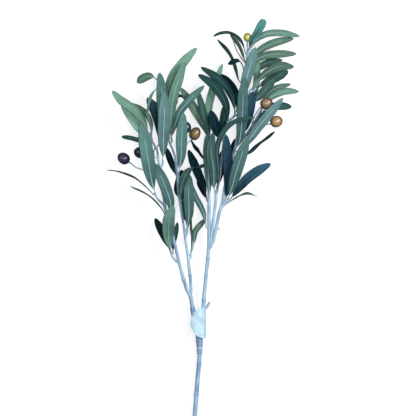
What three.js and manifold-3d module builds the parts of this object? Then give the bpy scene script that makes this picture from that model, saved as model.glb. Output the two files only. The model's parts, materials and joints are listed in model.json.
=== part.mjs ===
// An artificial olive spray with fruit, laid on its back on a table.
//
// Moulded plastic shoots carry cloth leaves on short stalks and painted olives.
// Units are millimetres. X runs across the spray, Y from the cut end to the tip,
// and Z points up, away from the table. The origin is the middle of the underside.

import * as THREE from 'three';
import { mergeVertices } from 'three/addons/utils/BufferGeometryUtils.js';
import Module from 'manifold-3d';

const wasm = await Module();
wasm.setup();

// ---------------------------------------------------------------- dimensions

const FIT_GAP = 0.3;            // clearance left between pieces that touch
const STEM_RADIUS = 3.6;        // main stem at its cut end
const LIMB_RADIUS = 3.05;       // the two limbs that leave the taped fork
const SHOOT_RADIUS = 2.3;       // shoots above the forks
const TWIG_RADIUS = 1.6;        // thin ends of the shoots
const PEG_RADIUS = 0.85;        // stalks that hold the olives
const COLLAR_RISE = 0.7;        // how far a moulded joint ring stands proud
const COLLAR_EDGE = 0.1;        // and at the ring's two ends
const TAPE_WALL = 0.5;          // wound tape round the fork
const LABEL_RADIUS = 23.5;      // round paper label, folded in half
const LABEL_WALL = 0.4;
const LEAF_STALK_RADIUS = 0.85; // moulded stalk of a leaf
const LEAF_RIDGE = 1.1;         // midrib, proud of the leaf's upper face
const LEAF_BELLY = 0.55;        // the same rib on the underside

// ----------------------------------------------------------------- materials

const PALETTE = {
  stem: new THREE.MeshStandardMaterial({ color: 0xb4cbe0, roughness: 0.55, metalness: 0 }),
  tape: new THREE.MeshStandardMaterial({ color: 0xa9bfd8, roughness: 0.6, metalness: 0 }),
  paper: new THREE.MeshStandardMaterial({ color: 0xcde4f1, roughness: 0.75, metalness: 0 }),
  sage: new THREE.MeshStandardMaterial({ color: 0x5f8d84, roughness: 0.7, metalness: 0 }),
  fresh: new THREE.MeshStandardMaterial({ color: 0x6d9b7e, roughness: 0.7, metalness: 0 }),
  shade: new THREE.MeshStandardMaterial({ color: 0x2b4d49, roughness: 0.75, metalness: 0 }),
  plum: new THREE.MeshStandardMaterial({ color: 0x2a2440, roughness: 0.35, metalness: 0 }),
  brown: new THREE.MeshStandardMaterial({ color: 0x8a6040, roughness: 0.35, metalness: 0 }),
  lime: new THREE.MeshStandardMaterial({ color: 0x9fa23c, roughness: 0.35, metalness: 0 }),
};

const spray = new THREE.Group();

function addPiece(name, geometry, finish) {
  const mesh = new THREE.Mesh(geometry, PALETTE[finish].clone());
  mesh.name = name;
  spray.add(mesh);
}

// -------------------------------------------------------------- mesh helpers

// Joins a list of equal rings, each an array of Vector3, into one closed body
// that ends in a point at each end.
function skin(firstPole, rings, lastPole) {
  const sides = rings[0].length;
  const corners = [firstPole, ...rings.flat(), lastPole];
  const last = corners.length - 1;
  const faces = [];
  for (let side = 0; side < sides; side += 1) {
    const next = (side + 1) % sides;
    faces.push([0, 1 + next, 1 + side]);
    for (let ring = 0; ring + 1 < rings.length; ring += 1) {
      const low = 1 + ring * sides;
      const high = low + sides;
      faces.push([low + side, low + next, high + side]);
      faces.push([low + next, high + next, high + side]);
    }
    const top = 1 + (rings.length - 1) * sides;
    faces.push([top + side, top + next, last]);
  }
  let volume = 0;
  for (const [a, b, c] of faces) {
    volume += corners[a].dot(new THREE.Vector3().crossVectors(corners[b], corners[c]));
  }
  if (volume < 0) faces.forEach((face) => face.reverse());
  const geometry = new THREE.BufferGeometry();
  geometry.setAttribute('position', new THREE.Float32BufferAttribute(
    corners.flatMap((corner) => corner.toArray()), 3));
  geometry.setIndex(faces.flat());
  return geometry;
}

function toSolid(geometry) {
  const bare = geometry.clone();
  bare.deleteAttribute('normal');
  bare.deleteAttribute('uv');
  const merged = mergeVertices(bare, 1e-4);
  return new wasm.Manifold(new wasm.Mesh({
    numProp: 3,
    vertProperties: new Float32Array(merged.attributes.position.array),
    triVerts: new Uint32Array(merged.index.array),
  }));
}

function toGeometry(solid) {
  const mesh = solid.getMesh();
  const geometry = new THREE.BufferGeometry();
  geometry.setAttribute('position', new THREE.BufferAttribute(mesh.vertProperties, 3));
  geometry.setIndex(new THREE.BufferAttribute(mesh.triVerts, 1));
  return geometry;
}

// ------------------------------------------------------------- shoots, paths

// A path is a smooth curve through points [x, y, z, radius].
class Path {
  constructor(points) {
    this.curve = new THREE.CatmullRomCurve3(
      points.map(([x, y, z]) => new THREE.Vector3(x, y, z)), false, 'centripetal');
    this.radii = points.map((point) => point[3]);
    this.count = points.length;
  }

  radius(t) {
    const place = THREE.MathUtils.clamp(t, 0, 1) * (this.count - 1);
    const index = Math.min(Math.floor(place), this.count - 2);
    return THREE.MathUtils.lerp(this.radii[index], this.radii[index + 1], place - index);
  }

  // The parameter at which the path reaches a height y along the spray.
  at(y) {
    const steps = 400;
    let best = 0;
    let least = Infinity;
    for (let step = 0; step <= steps; step += 1) {
      const miss = Math.abs(this.curve.getPoint(step / steps).y - y);
      if (miss < least) {
        least = miss;
        best = step / steps;
      }
    }
    return best;
  }
}

// A round rod along a path. The rod is grown by extra all round, and flat
// squeezes it in Z where two rods lie side by side under one wrapping.
function rod(path, { sides = 8, extra = 0, flat = 1 } = {}) {
  const count = path.count - 1;
  const rings = [];
  const across = new THREE.Vector3(1, 0, 0.01);
  for (let step = 0; step <= count; step += 1) {
    const t = step / count;
    const along = path.curve.getTangent(t);
    const overrun = extra * (Number(step === count) - Number(step === 0));
    const centre = path.curve.getPoint(t).addScaledVector(along, overrun);
    across.addScaledVector(along, -across.dot(along)).normalize();
    const up = new THREE.Vector3().crossVectors(across, along);
    const radius = path.radius(t) + extra;
    rings.push(Array.from({ length: sides }, (unused, side) => {
      const angle = (2 * Math.PI * (side + 0.5)) / sides;
      return centre.clone()
        .addScaledVector(across, radius * Math.cos(angle))
        .addScaledVector(up, radius * flat * Math.sin(angle));
    }));
  }
  return skin(
    path.curve.getPoint(0).addScaledVector(path.curve.getTangent(0), -extra), rings,
    path.curve.getPoint(1).addScaledVector(path.curve.getTangent(1), extra));
}

// A moulded joint ring round a path at height y.
function jointRing(path, y, length) {
  const t = path.at(y);
  const centre = path.curve.getPoint(t);
  const along = path.curve.getTangent(t);
  const radius = path.radius(t);
  const span = (offset, grow) => {
    const place = centre.clone().addScaledVector(along, offset);
    return [place.x, place.y, place.z, radius + grow];
  };
  return rod(new Path([
    span(-length / 2, COLLAR_EDGE), span(-length / 6, COLLAR_RISE),
    span(length / 6, COLLAR_RISE), span(length / 2, COLLAR_EDGE),
  ]));
}

function union(geometries) {
  return geometries.map(toSolid).reduce((whole, piece) => whole.add(piece));
}

// ---------------------------------------------------------- stem and limbs

const mainStem = new Path([
  [-8.4, -13, 3.6, STEM_RADIUS], [-7, 8, 4, STEM_RADIUS], [-5.4, 30, 4.5, 3.6],
  [-3.5, 54, 5.2, 3.55], [-1.3, 76, 6, 3.5], [-0.6, 92, 6.6, 3.4],
  [-0.5, 106, 7.2, 3.3], [-0.9, 118, 7.6, 3.1],
]);
addPiece('main_stem', toGeometry(union([
  rod(mainStem), jointRing(mainStem, 30, 5), jointRing(mainStem, 76, 4),
])), 'stem');

const leftLimb = new Path([
  [-4.2, 121, 7.8, LIMB_RADIUS], [-5.2, 132, 8.2, LIMB_RADIUS], [-8.6, 146, 9, LIMB_RADIUS],
  [-11.2, 160, 10.5, LIMB_RADIUS], [-13, 172, 12, LIMB_RADIUS], [-14.5, 180, 13, LIMB_RADIUS],
]);
const leftOuterRoot = new Path([
  [-14.3, 177, 12.6, 2.6], [-20, 189, 14.5, 2.6], [-24.5, 204, 18, 2.5],
  [-28.4, 218, 21.5, SHOOT_RADIUS], [-30.4, 226, 23.6, SHOOT_RADIUS],
]);
const leftInnerRoot = new Path([
  [-14.3, 177, 12.6, 2.5], [-13.4, 190, 14.5, 2.4], [-14.3, 204, 16.8, 2.3],
  [-16, 219, 19, 2.3], [-17.1, 229, 20.4, 2.2],
]);
addPiece('left_limb', toGeometry(union([
  rod(leftLimb), rod(leftOuterRoot), rod(leftInnerRoot),
  jointRing(leftOuterRoot, 204, 3.5), jointRing(leftInnerRoot, 210, 3.5),
])), 'stem');

const rightLimb = new Path([
  [2.2, 121, 7.8, LIMB_RADIUS], [2.3, 134, 8.4, LIMB_RADIUS], [3.6, 149, 9.4, LIMB_RADIUS],
  [5.3, 166, 11.2, LIMB_RADIUS], [6.4, 181, 13, 2.9], [8, 196, 15, 2.8], [9, 208, 16.5, 2.75],
]);
const cutPeg = new Path([
  [4.4, 157, 10.2, 2], [9.2, 160.5, 11, 1.9], [12.4, 165, 11.6, 1.9], [14.6, 169.5, 12, 1.9],
]);
addPiece('right_limb', toGeometry(union([
  rod(rightLimb), rod(cutPeg), jointRing(rightLimb, 172.5, 4),
])), 'stem');

// Three shoots leave the right fork. The middle one and the inner one carry on
// behind the leaves.
const rightRoot = new Path([
  [9.1, 208.6, 16.6, 2.75], [10, 219, 17.8, 2.75], [11.8, 234, 19.2, 2.75], [13, 249, 20.2, 2.7],
]);
const innerShoot = new Path([
  [12.9, 247, 20.1, SHOOT_RADIUS], [13.5, 264, 21.8, 2.45], [13.6, 281, 23.5, 2.45],
  [13.4, 300, 25, 2.45], [13.8, 324, 26, 2.3], [12.6, 355, 26.5, 1.8],
  [12.4, 388, 27, 1.65], [13.5, 414, 27.5, TWIG_RADIUS],
]);
const middleShoot = new Path([
  [13, 248, 20.1, SHOOT_RADIUS], [17.2, 266, 22.8, 2.3], [19.3, 288, 26, 2.3],
  [23, 314, 29, 2.15], [24.6, 334, 30, 2.05], [29.2, 356, 31, 1.9], [33, 388, 31.8, 1.8],
  [36, 416, 31.5, 1.65], [38, 433, 31, 1.65], [44.3, 443, 30.6, 1.65], [54.6, 452, 30, TWIG_RADIUS],
]);
const outerRoot = new Path([
  [13.2, 248, 20.2, SHOOT_RADIUS], [19.8, 261, 23.5, 2.45], [24, 279, 27, 2.45],
  [26.4, 291, 29, 2.45], [28.8, 303, 31, 2.45], [33.7, 318, 33, 2.45],
]);
const blueSprigRoot = new Path([
  [31.6, 312.5, 32, 1.9], [37.5, 317, 32.8, 1.8], [42, 321, 33.6, 1.8], [44.6, 324, 34, 1.8],
]);
const nub = new Path([
  [24, 279, 27, 1.65], [26.6, 280, 27.2, 1.65], [29.4, 281, 27.4, 1.5],
]);
addPiece('right_fork', toGeometry(union([
  rod(rightRoot), rod(innerShoot), rod(middleShoot), rod(outerRoot), rod(blueSprigRoot),
  rod(nub, { sides: 6 }), jointRing(rightRoot, 236, 3.5),
])), 'stem');

// ------------------------------------------------ wound tape and paper label

const tapeCore = new Path([
  [-0.6, 92, 6.6, 3.9], [-0.5, 99, 7, 4.4], [-0.5, 106, 7.2, 5.1],
  [-1, 114, 7.4, 5.5], [-1, 124, 7.9, 6.3], [-1.4, 131, 8.2, 6],
]);
const mainSleeve = new Path([
  [-0.6, 92, 6.6, 3.4], [-0.5, 106, 7.2, 3.3], [-0.9, 118, 7.6, 3.1], [-1, 122, 7.9, 3],
]);
const leftSleeve = new Path([
  [-4.6, 126, 8, LIMB_RADIUS], [-6.8, 139, 8.6, LIMB_RADIUS], [-9.6, 151, 9.5, LIMB_RADIUS],
  [-11.3, 161, 10.6, LIMB_RADIUS],
]);
const rightSleeve = new Path([
  [2.2, 126, 8, LIMB_RADIUS], [2.6, 138, 8.6, LIMB_RADIUS], [3.5, 148, 9.3, LIMB_RADIUS],
]);
const wound = TAPE_WALL + FIT_GAP;
const bored = (path) => toSolid(rod(path, { extra: FIT_GAP }));
addPiece('tape_wrap', toGeometry(
  union([
    rod(tapeCore, { flat: 0.66, sides: 12 }),
    rod(mainSleeve, { extra: wound, sides: 12 }),
    rod(leftSleeve, { extra: wound + 0.2 }),
    rod(rightSleeve, { extra: wound + 0.2 }),
  ]).subtract(bored(mainStem)).subtract(bored(leftLimb)).subtract(bored(rightLimb))), 'tape');

// The label is a disc of paper folded round the fork: its section is a narrow
// loop that stays open along the free edges, cut to the disc's outline.
const LABEL_FOLD_X = 9;
const LABEL_MIDDLE = [138, 9];     // y and z of the disc's centre
const LABEL_BULGE = 6.1;           // half the height of the loop over the fork
const loop = [
  [-LABEL_RADIUS, 4.2], [-19.5, 5.5], [-15.5, LABEL_BULGE], [-4.2, LABEL_BULGE],
  [-1.3, 4.5], [-0.1, 2],
];
const outerEdge = [...loop, ...loop.toReversed().map(([x, z]) => [x, -z])];
const innerLoop = loop.map(([x, z]) => [
  x < -LABEL_RADIUS + 1 ? x : x - LABEL_WALL * (x > -4 ? 0.9 : 0), z - LABEL_WALL]);
const innerEdge = [...innerLoop, ...innerLoop.toReversed().map(([x, z]) => [x, -z])].toReversed();
const labelSection = new THREE.Shape(
  [...outerEdge, ...innerEdge].map(([x, z]) => new THREE.Vector2(x, z)));
const labelStrip = new THREE.ExtrudeGeometry(labelSection, {
  depth: 2.2 * LABEL_RADIUS, bevelEnabled: false,
});
labelStrip.translate(0, 0, -1.1 * LABEL_RADIUS);
labelStrip.rotateX(Math.PI / 2);
const labelDisc = new THREE.CylinderGeometry(LABEL_RADIUS, LABEL_RADIUS, 30, 36);
labelDisc.rotateX(Math.PI / 2);
const labelSheet = toSolid(labelStrip).intersect(toSolid(labelDisc))
  .translate([LABEL_FOLD_X, ...LABEL_MIDDLE]);
addPiece('paper_label', toGeometry(labelSheet.subtract(bored(cutPeg))), 'paper');

// ------------------------------------------------------------- upper shoots

const leftOuterShoot = new Path([
  [-30.6, 226.7, 23.8, SHOOT_RADIUS], [-35.2, 246, 27, 2.45], [-39.2, 262, 29.5, 2.45],
  [-45, 286, 32.5, 2.4], [-51, 304, 34.5, 2.3], [-54.6, 328, 37, 2.05],
  [-58.4, 345, 38, 1.9], [-59.3, 361, 39, 1.9], [-58.7, 372, 39.5, 1.8],
  [-62, 381, 40, 1.8], [-64.4, 399, 40, 1.65], [-71, 410, 40, 1.5], [-74.8, 424, 40, 1.5],
]);
const lowSprig = new Path([
  [-31.3, 229, 24.3, 1.8], [-36, 232, 25.5, 1.65], [-41.5, 238, 27, 1.65], [-44.4, 246, 28.5, 1.5],
]);
const farLeftTwig = new Path([
  [-51, 304, 34.5, 1.9], [-55, 316.5, 36, 1.65], [-60.5, 321.5, 36.6, 1.5],
  [-65, 326.5, 37.2, 1.5], [-68.2, 334, 38, 1.5],
]);
const shortRightTwig = new Path([
  [-58.8, 371, 39.5, 1.65], [-56.2, 376, 40, 1.5], [-54.8, 382, 41, 1.5],
]);
const plumOliveStalk = new Path([
  [-59.3, 358, 38.8, 1], [-72, 364.5, 38.5, 0.9], [-86.5, 369, 37.5, 0.8],
  [-96, 372, 37, PEG_RADIUS], [-106, 380, 36.4, PEG_RADIUS],
]);
const hiddenOliveStalk = new Path([
  [-63, 386, 40, 1], [-73, 390, 42, 0.9], [-81.2, 392.6, 43.6, PEG_RADIUS],
]);
addPiece('left_outer_shoot', toGeometry(union([
  rod(leftOuterShoot, { sides: 6 }), rod(lowSprig, { sides: 6 }),
  rod(farLeftTwig, { sides: 6 }), rod(shortRightTwig, { sides: 6 }),
  rod(plumOliveStalk, { sides: 5 }), rod(hiddenOliveStalk, { sides: 5 }),
])), 'stem');

const leftInnerShoot = new Path([
  [-17.2, 229.7, 20.5, 2.2], [-19, 246, 22.5, 2.15], [-21.8, 264, 24.5, 1.95],
  [-25.6, 291, 27, 1.75], [-29.5, 316, 29, 1.9], [-32.6, 334, 30.2, 1.85],
  [-33.6, 357, 31.5, 1.9], [-35.4, 372, 32.5, 1.8], [-37.4, 388, 33, 1.8],
  [-41, 399, 33.5, 1.65], [-45.5, 409, 34, 1.5], [-48.6, 420, 34, 1.5],
  [-51, 442, 33.6, 1.5], [-52.4, 467, 33, 1.5],
]);
const lowPeg = new Path([[-17.4, 231, 20.6, 1.65], [-14.9, 235, 21, 1.5], [-12.6, 240, 21.5, 1.5]]);
const middlePeg = new Path([
  [-22.2, 267, 24.8, 1.65], [-20.2, 272, 26, 1.5], [-18.6, 277.5, 27.4, 1.5],
]);
const rightTip = new Path([[-45, 408, 34, 1.5], [-42.8, 410.5, 34.3, 1.4], [-41.2, 413, 34.6, 1.4]]);
const darkOliveStalk = new Path([
  [-35.6, 374, 32.6, 1], [-29, 392, 37, 0.9], [-23.4, 410, 42, 0.8], [-21.8, 422.8, 45, PEG_RADIUS],
]);
const goldOliveStalk = new Path([
  [-35, 368, 32.2, 1], [-30, 384, 34, 0.9], [-22.6, 402.5, 34.4, 0.8],
  [-17.4, 410, 35, PEG_RADIUS], [-12.9, 414, 35.4, PEG_RADIUS],
]);
addPiece('left_inner_shoot', toGeometry(union([
  rod(leftInnerShoot, { sides: 6 }), rod(lowPeg, { sides: 6 }), rod(middlePeg, { sides: 6 }),
  rod(rightTip, { sides: 6 }), rod(darkOliveStalk, { sides: 5 }),
  rod(goldOliveStalk, { sides: 5 }),
])), 'stem');

const rightOuterShoot = new Path([
  [33.9, 318.7, 33.2, 2.4], [36.6, 338, 35.6, 2.4], [39, 351, 37.5, 2.3], [43.6, 369, 40, 2.3],
  [48.8, 384, 42, 2.15], [54.6, 409, 43, 2.15], [60, 444, 44, 2.05], [64.5, 474, 44.5, 1.9],
  [67.6, 504, 44, 1.9], [70.4, 534, 42, 1.8], [71.2, 548, 40.5, 1.65],
]);
const topOliveStalk = new Path([
  [71.2, 546, 40.7, 1], [71.1, 553, 41, 0.9], [70.7, 560.2, 42.6, PEG_RADIUS],
]);
const lowSideShoot = new Path([
  [53.6, 403, 43, 1.65], [64, 415, 40.5, 1.65], [75, 430, 38.5, 1.5], [85, 446, 37.2, 1.5],
  [93.6, 461, 36.2, 1.5],
]);
const highSideShoot = new Path([
  [57.8, 428, 43.6, 1.65], [66, 452, 41, 1.65], [73.4, 477, 40, 1.5], [75.4, 489.5, 40, 1.5],
]);
const highFork = new Path([[73.2, 476, 40, 1.5], [78, 484, 40, 1.4], [83.6, 491, 40, 1.4]]);
const brownOliveStalk = new Path([
  [77, 433, 38.2, 1], [80.6, 447, 43, 0.9], [86.6, 457, 48.6, 0.8], [91.3, 462.6, 52, PEG_RADIUS],
]);
const goldenOliveStalk = new Path([
  [76, 431.6, 38.4, 1], [88, 435.5, 42.6, 0.9], [98, 435.6, 46.6, 0.8], [105.4, 437.4, 48.6, PEG_RADIUS],
]);
const dryTwig = new Path([[70, 528, 42.4, 0.9], [63, 535, 41, 0.8], [55.4, 547, 39, 0.7], [50, 562, 37, 0.6]]);
addPiece('right_outer_shoot', toGeometry(union([
  rod(rightOuterShoot, { sides: 6 }), rod(topOliveStalk, { sides: 5 }),
  rod(lowSideShoot, { sides: 6 }), rod(highSideShoot, { sides: 6 }), rod(highFork, { sides: 6 }),
  rod(brownOliveStalk, { sides: 5 }), rod(goldenOliveStalk, { sides: 5 }),
  rod(dryTwig, { sides: 5 }),
])), 'stem');

// ------------------------------------------------------------------- olives

// An olive is a smooth bead, a little fuller towards its stalk.
function olive(name, centre, axis, length, width, finish) {
  const rows = 8;
  const profile = Array.from({ length: rows + 1 }, (unused, row) => {
    const angle = (Math.PI * row) / rows;
    const fullness = 1 - 0.05 * Math.cos(angle);
    return new THREE.Vector2(
      row % rows === 0 ? 0 : (width / 2) * Math.sin(angle) * fullness,
      (-length / 2) * Math.cos(angle));
  });
  const bead = new THREE.LatheGeometry(profile, 12);
  bead.applyQuaternion(new THREE.Quaternion().setFromUnitVectors(
    new THREE.Vector3(0, 1, 0), new THREE.Vector3(...axis).normalize()));
  bead.translate(...centre);
  addPiece(name, bead, finish);
}

olive('olive_plum_left', [-114.8, 386, 36], [0.8, -0.58, 0.05], 20, 17, 'plum');
olive('olive_plum_behind', [-90.4, 394.6, 44.5], [0.95, -0.25, -0.1], 18.4, 17, 'plum');
olive('olive_plum_middle', [-20.8, 432.2, 47.2], [-0.12, -0.97, -0.2], 17.6, 15.6, 'plum');
olive('olive_brown_middle', [-7.4, 423.2, 36.4], [-0.48, -0.86, -0.1], 20.6, 16.6, 'brown');
olive('olive_brown_right', [99.8, 468.2, 54.6], [-0.84, -0.52, -0.2], 19.4, 17, 'brown');
olive('olive_gold_right', [114.8, 441, 50.6], [-0.94, -0.34, -0.15], 19.4, 17.4, 'brown');
olive('olive_lime_top', [71.3, 567.6, 44], [-0.05, -0.98, -0.15], 13.6, 11.6, 'lime');

// ------------------------------------------------------------------- leaves

// Places along the blade and the share of the full width reached there.
const HEEL_RISE = 0.25;         // rounding of the stalk's bottom end
const SOCKET_LENGTH = 2.4;      // stretch of the stalk that sits in the collar
const BLADE = [[0.1, 0.46], [0.24, 0.79], [0.42, 0.97], [0.6, 1], [0.77, 0.91], [0.9, 0.62]];
const BLUNT_BLADE = [[0.1, 0.46], [0.24, 0.68], [0.42, 0.84], [0.6, 0.95], [0.8, 1], [0.94, 0.82]];

// One leaf grows from a root along a curve. Roll turns its face about the
// curve, in degrees: 0 faces up, 90 stands on edge, 180 faces down.
function leafRings(root, { width, stalk = 6, roll = [0, 0], foldFrom = 0, blade = BLADE, spine }) {
  const curve = new THREE.CatmullRomCurve3(
    [root, ...spine.map((point) => new THREE.Vector3(...point))], false, 'centripetal');
  curve.arcLengthDivisions = 400;
  const length = curve.getLength();
  const bladeStart = stalk / length;
  const ring = (u, half, ridge, belly) => {
    const centre = curve.getPointAt(u);
    const along = curve.getTangentAt(u);
    const flat = new THREE.Vector3(along.y, -along.x, 0).normalize();
    const turn = THREE.MathUtils.degToRad(THREE.MathUtils.lerp(
      roll[0], roll[1], Math.max(0, u - foldFrom) / (1 - foldFrom)));
    const across = flat.clone().applyAxisAngle(along, -turn);
    const up = new THREE.Vector3().crossVectors(across, along);
    return [[across, half], [up, ridge], [across, -half], [up, -belly]]
      .map(([direction, reach]) => centre.clone().addScaledVector(direction, reach));
  };
  const round = LEAF_STALK_RADIUS;
  const rings = [
    ring(0, round, round, round),
    ring(SOCKET_LENGTH / length, round, round, round),
    ring(bladeStart, round * 1.3, round, round),
    ...blade.map(([place, share]) => ring(
      bladeStart + place * (1 - bladeStart), (width / 2) * share,
      LEAF_RIDGE * (1 - 0.45 * place), LEAF_BELLY)),
  ];
  return { rings, tip: curve.getPointAt(1), along: curve.getTangentAt(0) };
}

// Where a leaf leaves its shoot: beside the shoot, on the side the leaf goes.
function leafSide(path, t, leaf) {
  const centre = path.curve.getPoint(t);
  const along = path.curve.getTangent(t);
  const towards = new THREE.Vector3(...leaf.spine[0]).sub(centre);
  return towards.addScaledVector(along, -towards.dot(along)).normalize();
}

function leafBody(root, leaf) {
  const { rings, tip, along } = leafRings(root, leaf);
  const heel = root.clone().addScaledVector(along, -HEEL_RISE);
  return skin(heel, rings, tip);
}

const ROOT_GAP = FIT_GAP + LEAF_STALK_RADIUS + 0.15;
const ROOT_SPREAD = 4.2;        // least distance between a pair's two roots
const NEARLY_PARALLEL = 0.05;   // sine of the angle between the two sides

function singleLeaf(name, path, y, finish, leaf) {
  const t = path.at(y);
  const root = path.curve.getPoint(t)
    .addScaledVector(leafSide(path, t, leaf), path.radius(t) + ROOT_GAP);
  addPiece(name, leafBody(root, leaf), finish);
}

// Two leaves moulded on one collar, a thin rod that passes round the side of
// the shoot from one leaf's root to the other's.
function leafPair(name, path, y, finish, first, second) {
  const t = path.at(y);
  const centre = path.curve.getPoint(t);
  const along = path.curve.getTangent(t);
  const reach = path.radius(t) + ROOT_GAP;
  const sides = [leafSide(path, t, first), leafSide(path, t, second)];
  const leastSpread = ROOT_SPREAD / reach;
  if (sides[0].angleTo(sides[1]) < leastSpread) {
    const middle = sides[0].clone().add(sides[1]).normalize();
    const turn = new THREE.Vector3().crossVectors(sides[0], sides[1]);
    if (turn.length() < NEARLY_PARALLEL) turn.copy(along);
    turn.normalize();
    sides.forEach((side, index) => {
      side.copy(middle).applyAxisAngle(turn, (index - 0.5) * leastSpread);
    });
  }
  const turn = new THREE.Vector3().crossVectors(sides[0], sides[1]).normalize();
  const spread = sides[0].angleTo(sides[1]);
  const steps = Math.max(2, Math.ceil(spread / 0.7));
  const collar = rod(new Path(Array.from({ length: steps + 1 }, (unused, step) => {
    const side = sides[0].clone().applyAxisAngle(turn, (spread * step) / steps);
    const place = centre.clone().addScaledVector(side, reach);
    return [place.x, place.y, place.z, LEAF_STALK_RADIUS - 0.1];
  })), { sides: 6 });
  const leaves = [first, second].map((leaf, index) => {
    const root = centre.clone().addScaledVector(sides[index], reach);
    return leafBody(root, leaf);
  });
  addPiece(name, toGeometry(union([...leaves, collar])), finish);
}

const EDGE_ON = [80, 80];
const STEEP = [62, 62];

// Left outer shoot, from the bottom upwards.
leafPair('left_low_pair', lowSprig, 244.5, 'fresh',
  { width: 18.5, roll: [0, 0], spine: [[-46.8, 264, 45], [-47.2, 280, 64], [-46, 296, 83], [-39, 315, 99]] },
  { width: 12, roll: [0, 0], spine: [[-50, 260, 24], [-59, 279, 15], [-68, 296, 9]] });
singleLeaf('left_low_leaf', lowSprig, 240, 'shade',
  { width: 8, spine: [[-40.5, 256, 23], [-37, 272, 21], [-33.8, 290, 19]] });
leafPair('far_left_pair', farLeftTwig, 332.5, 'sage',
  { width: 20.5, spine: [[-72, 349.5, 47], [-75, 368, 60], [-78, 384, 66], [-81, 403.5, 69], [-88, 439, 73]] },
  { width: 16, roll: EDGE_ON, spine: [[-81, 343.5, 36], [-100.5, 358.5, 34], [-125, 367, 32], [-139.5, 368.2, 30]] });
leafPair('left_crossing_pair', leftOuterShoot, 297, 'fresh',
  { width: 17, spine: [[-43.5, 313.5, 43], [-48.8, 334.5, 48.5], [-56, 353, 50.5], [-67.5, 378, 50]] },
  { width: 14, roll: EDGE_ON, spine: [[-58.5, 312.5, 28.5], [-70.5, 326, 27], [-85.5, 336, 24.5], [-105, 344.4, 22]] });
singleLeaf('left_front_leaf', shortRightTwig, 381.5, 'sage',
  { width: 18.5, spine: [[-55, 400, 52], [-55, 414, 59], [-53.6, 440, 66], [-53.3, 466, 70], [-53.3, 486, 72]] });
leafPair('left_back_pair', leftOuterShoot, 402, 'shade',
  { width: 18, spine: [[-58.6, 417, 34], [-60.5, 440, 35], [-68, 460, 35], [-79.5, 477, 33]] },
  { width: 9, spine: [[-69.5, 396, 34], [-74.5, 386, 30], [-79, 377, 28]] });
leafPair('left_upper_pair', leftOuterShoot, 414, 'fresh',
  { width: 15, spine: [[-83, 421, 38], [-91.5, 431.5, 38], [-98, 442, 38], [-108, 456, 36], [-118.5, 466.5, 34]] },
  { width: 10, roll: [40, 40], spine: [[-88, 413.6, 32], [-103, 416.8, 28], [-117.8, 418.5, 26]] });
singleLeaf('left_resting_leaf', leftOuterShoot, 419, 'shade',
  { width: 9, spine: [[-73, 436, 31], [-83, 455, 18], [-105, 469.5, 1.2]] });
leafPair('left_top_pair', leftOuterShoot, 423.5, 'fresh',
  { width: 13.5, spine: [[-81, 434, 45], [-88.5, 447, 48], [-102, 462, 49], [-115.5, 470, 47], [-132, 487.5, 44]] },
  { width: 12, roll: [70, 70], spine: [[-75, 437.5, 50], [-77.3, 452, 57], [-77, 464, 60], [-72, 479, 60], [-63.8, 492, 59]] });

// Left inner shoot.
leafPair('inner_low_pair', lowPeg, 239, 'shade',
  { width: 13, roll: [75, 75], spine: [[-11.6, 257, 24], [-12.6, 285, 27], [-12.8, 303, 28]] },
  { width: 9, stalk: 18, spine: [[-8.8, 259, 19], [-7.4, 275, 19], [9, 295.5, 18]] });
leafPair('inner_front_pair', middlePeg, 277, 'sage',
  { width: 16, spine: [[-16.8, 298, 35], [-17, 331, 40], [-15.8, 361.5, 37]] },
  { width: 12, spine: [[-17.6, 287, 21], [-22, 303, 18], [-25.5, 322, 17], [-26.3, 342, 17]] });
leafPair('inner_folded_pair', leftInnerShoot, 322, 'fresh',
  { width: 13, roll: [0, 165], foldFrom: 0.42, spine: [[-28, 343.5, 42], [-20.5, 362, 50], [-11, 372, 47], [9.8, 375, 28.5]] },
  { width: 12, spine: [[-34.5, 336, 24], [-31, 353, 23], [-27, 369, 22]] });
leafPair('inner_tall_pair', leftInnerShoot, 357, 'sage',
  { width: 17, stalk: 14, spine: [[-30.8, 372, 40], [-28.5, 387, 48], [-27.8, 407, 55], [-26.5, 433.5, 61], [-24.8, 454.5, 63]] },
  { width: 10, spine: [[-38, 366, 23.5], [-44.5, 383, 21.5], [-51, 402, 20.5]] });
leafPair('inner_crown_pair', rightTip, 413, 'fresh',
  { width: 15, spine: [[-43.2, 430, 42], [-43.5, 454.5, 50], [-39, 481.5, 53], [-30.8, 507, 52], [-21.8, 531, 50]] },
  { width: 12, spine: [[-37.5, 436.5, 40], [-30, 456, 44], [-15, 474, 47], [6.8, 495, 47]] });
leafPair('inner_hidden_pair', leftInnerShoot, 416, 'sage',
  { width: 16.5, spine: [[-54.5, 435, 42], [-57, 462, 46], [-57.6, 489, 46.5], [-60.8, 514.5, 45]] },
  { width: 7, roll: [60, 60], spine: [[-44.6, 430, 37], [-41, 452, 40], [-31.8, 474, 41]] });
singleLeaf('inner_curl_leaf', leftInnerShoot, 452, 'shade',
  { width: 7, roll: [30, 30], spine: [[-45, 470, 29], [-37.5, 477, 28], [-28.5, 480, 28], [-24, 475.5, 28]] });
leafPair('inner_top_pair', leftInnerShoot, 465.5, 'fresh',
  { width: 14.5, spine: [[-49.5, 482, 37], [-42, 507, 40], [-24, 531, 40], [-4.5, 552, 38]] },
  { width: 13, stalk: 44, spine: [[-60, 487, 35], [-65, 500, 35], [-68.5, 507, 35], [-76, 509.5, 35], [-86, 506, 34], [-94.5, 499.5, 31]] });

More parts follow.
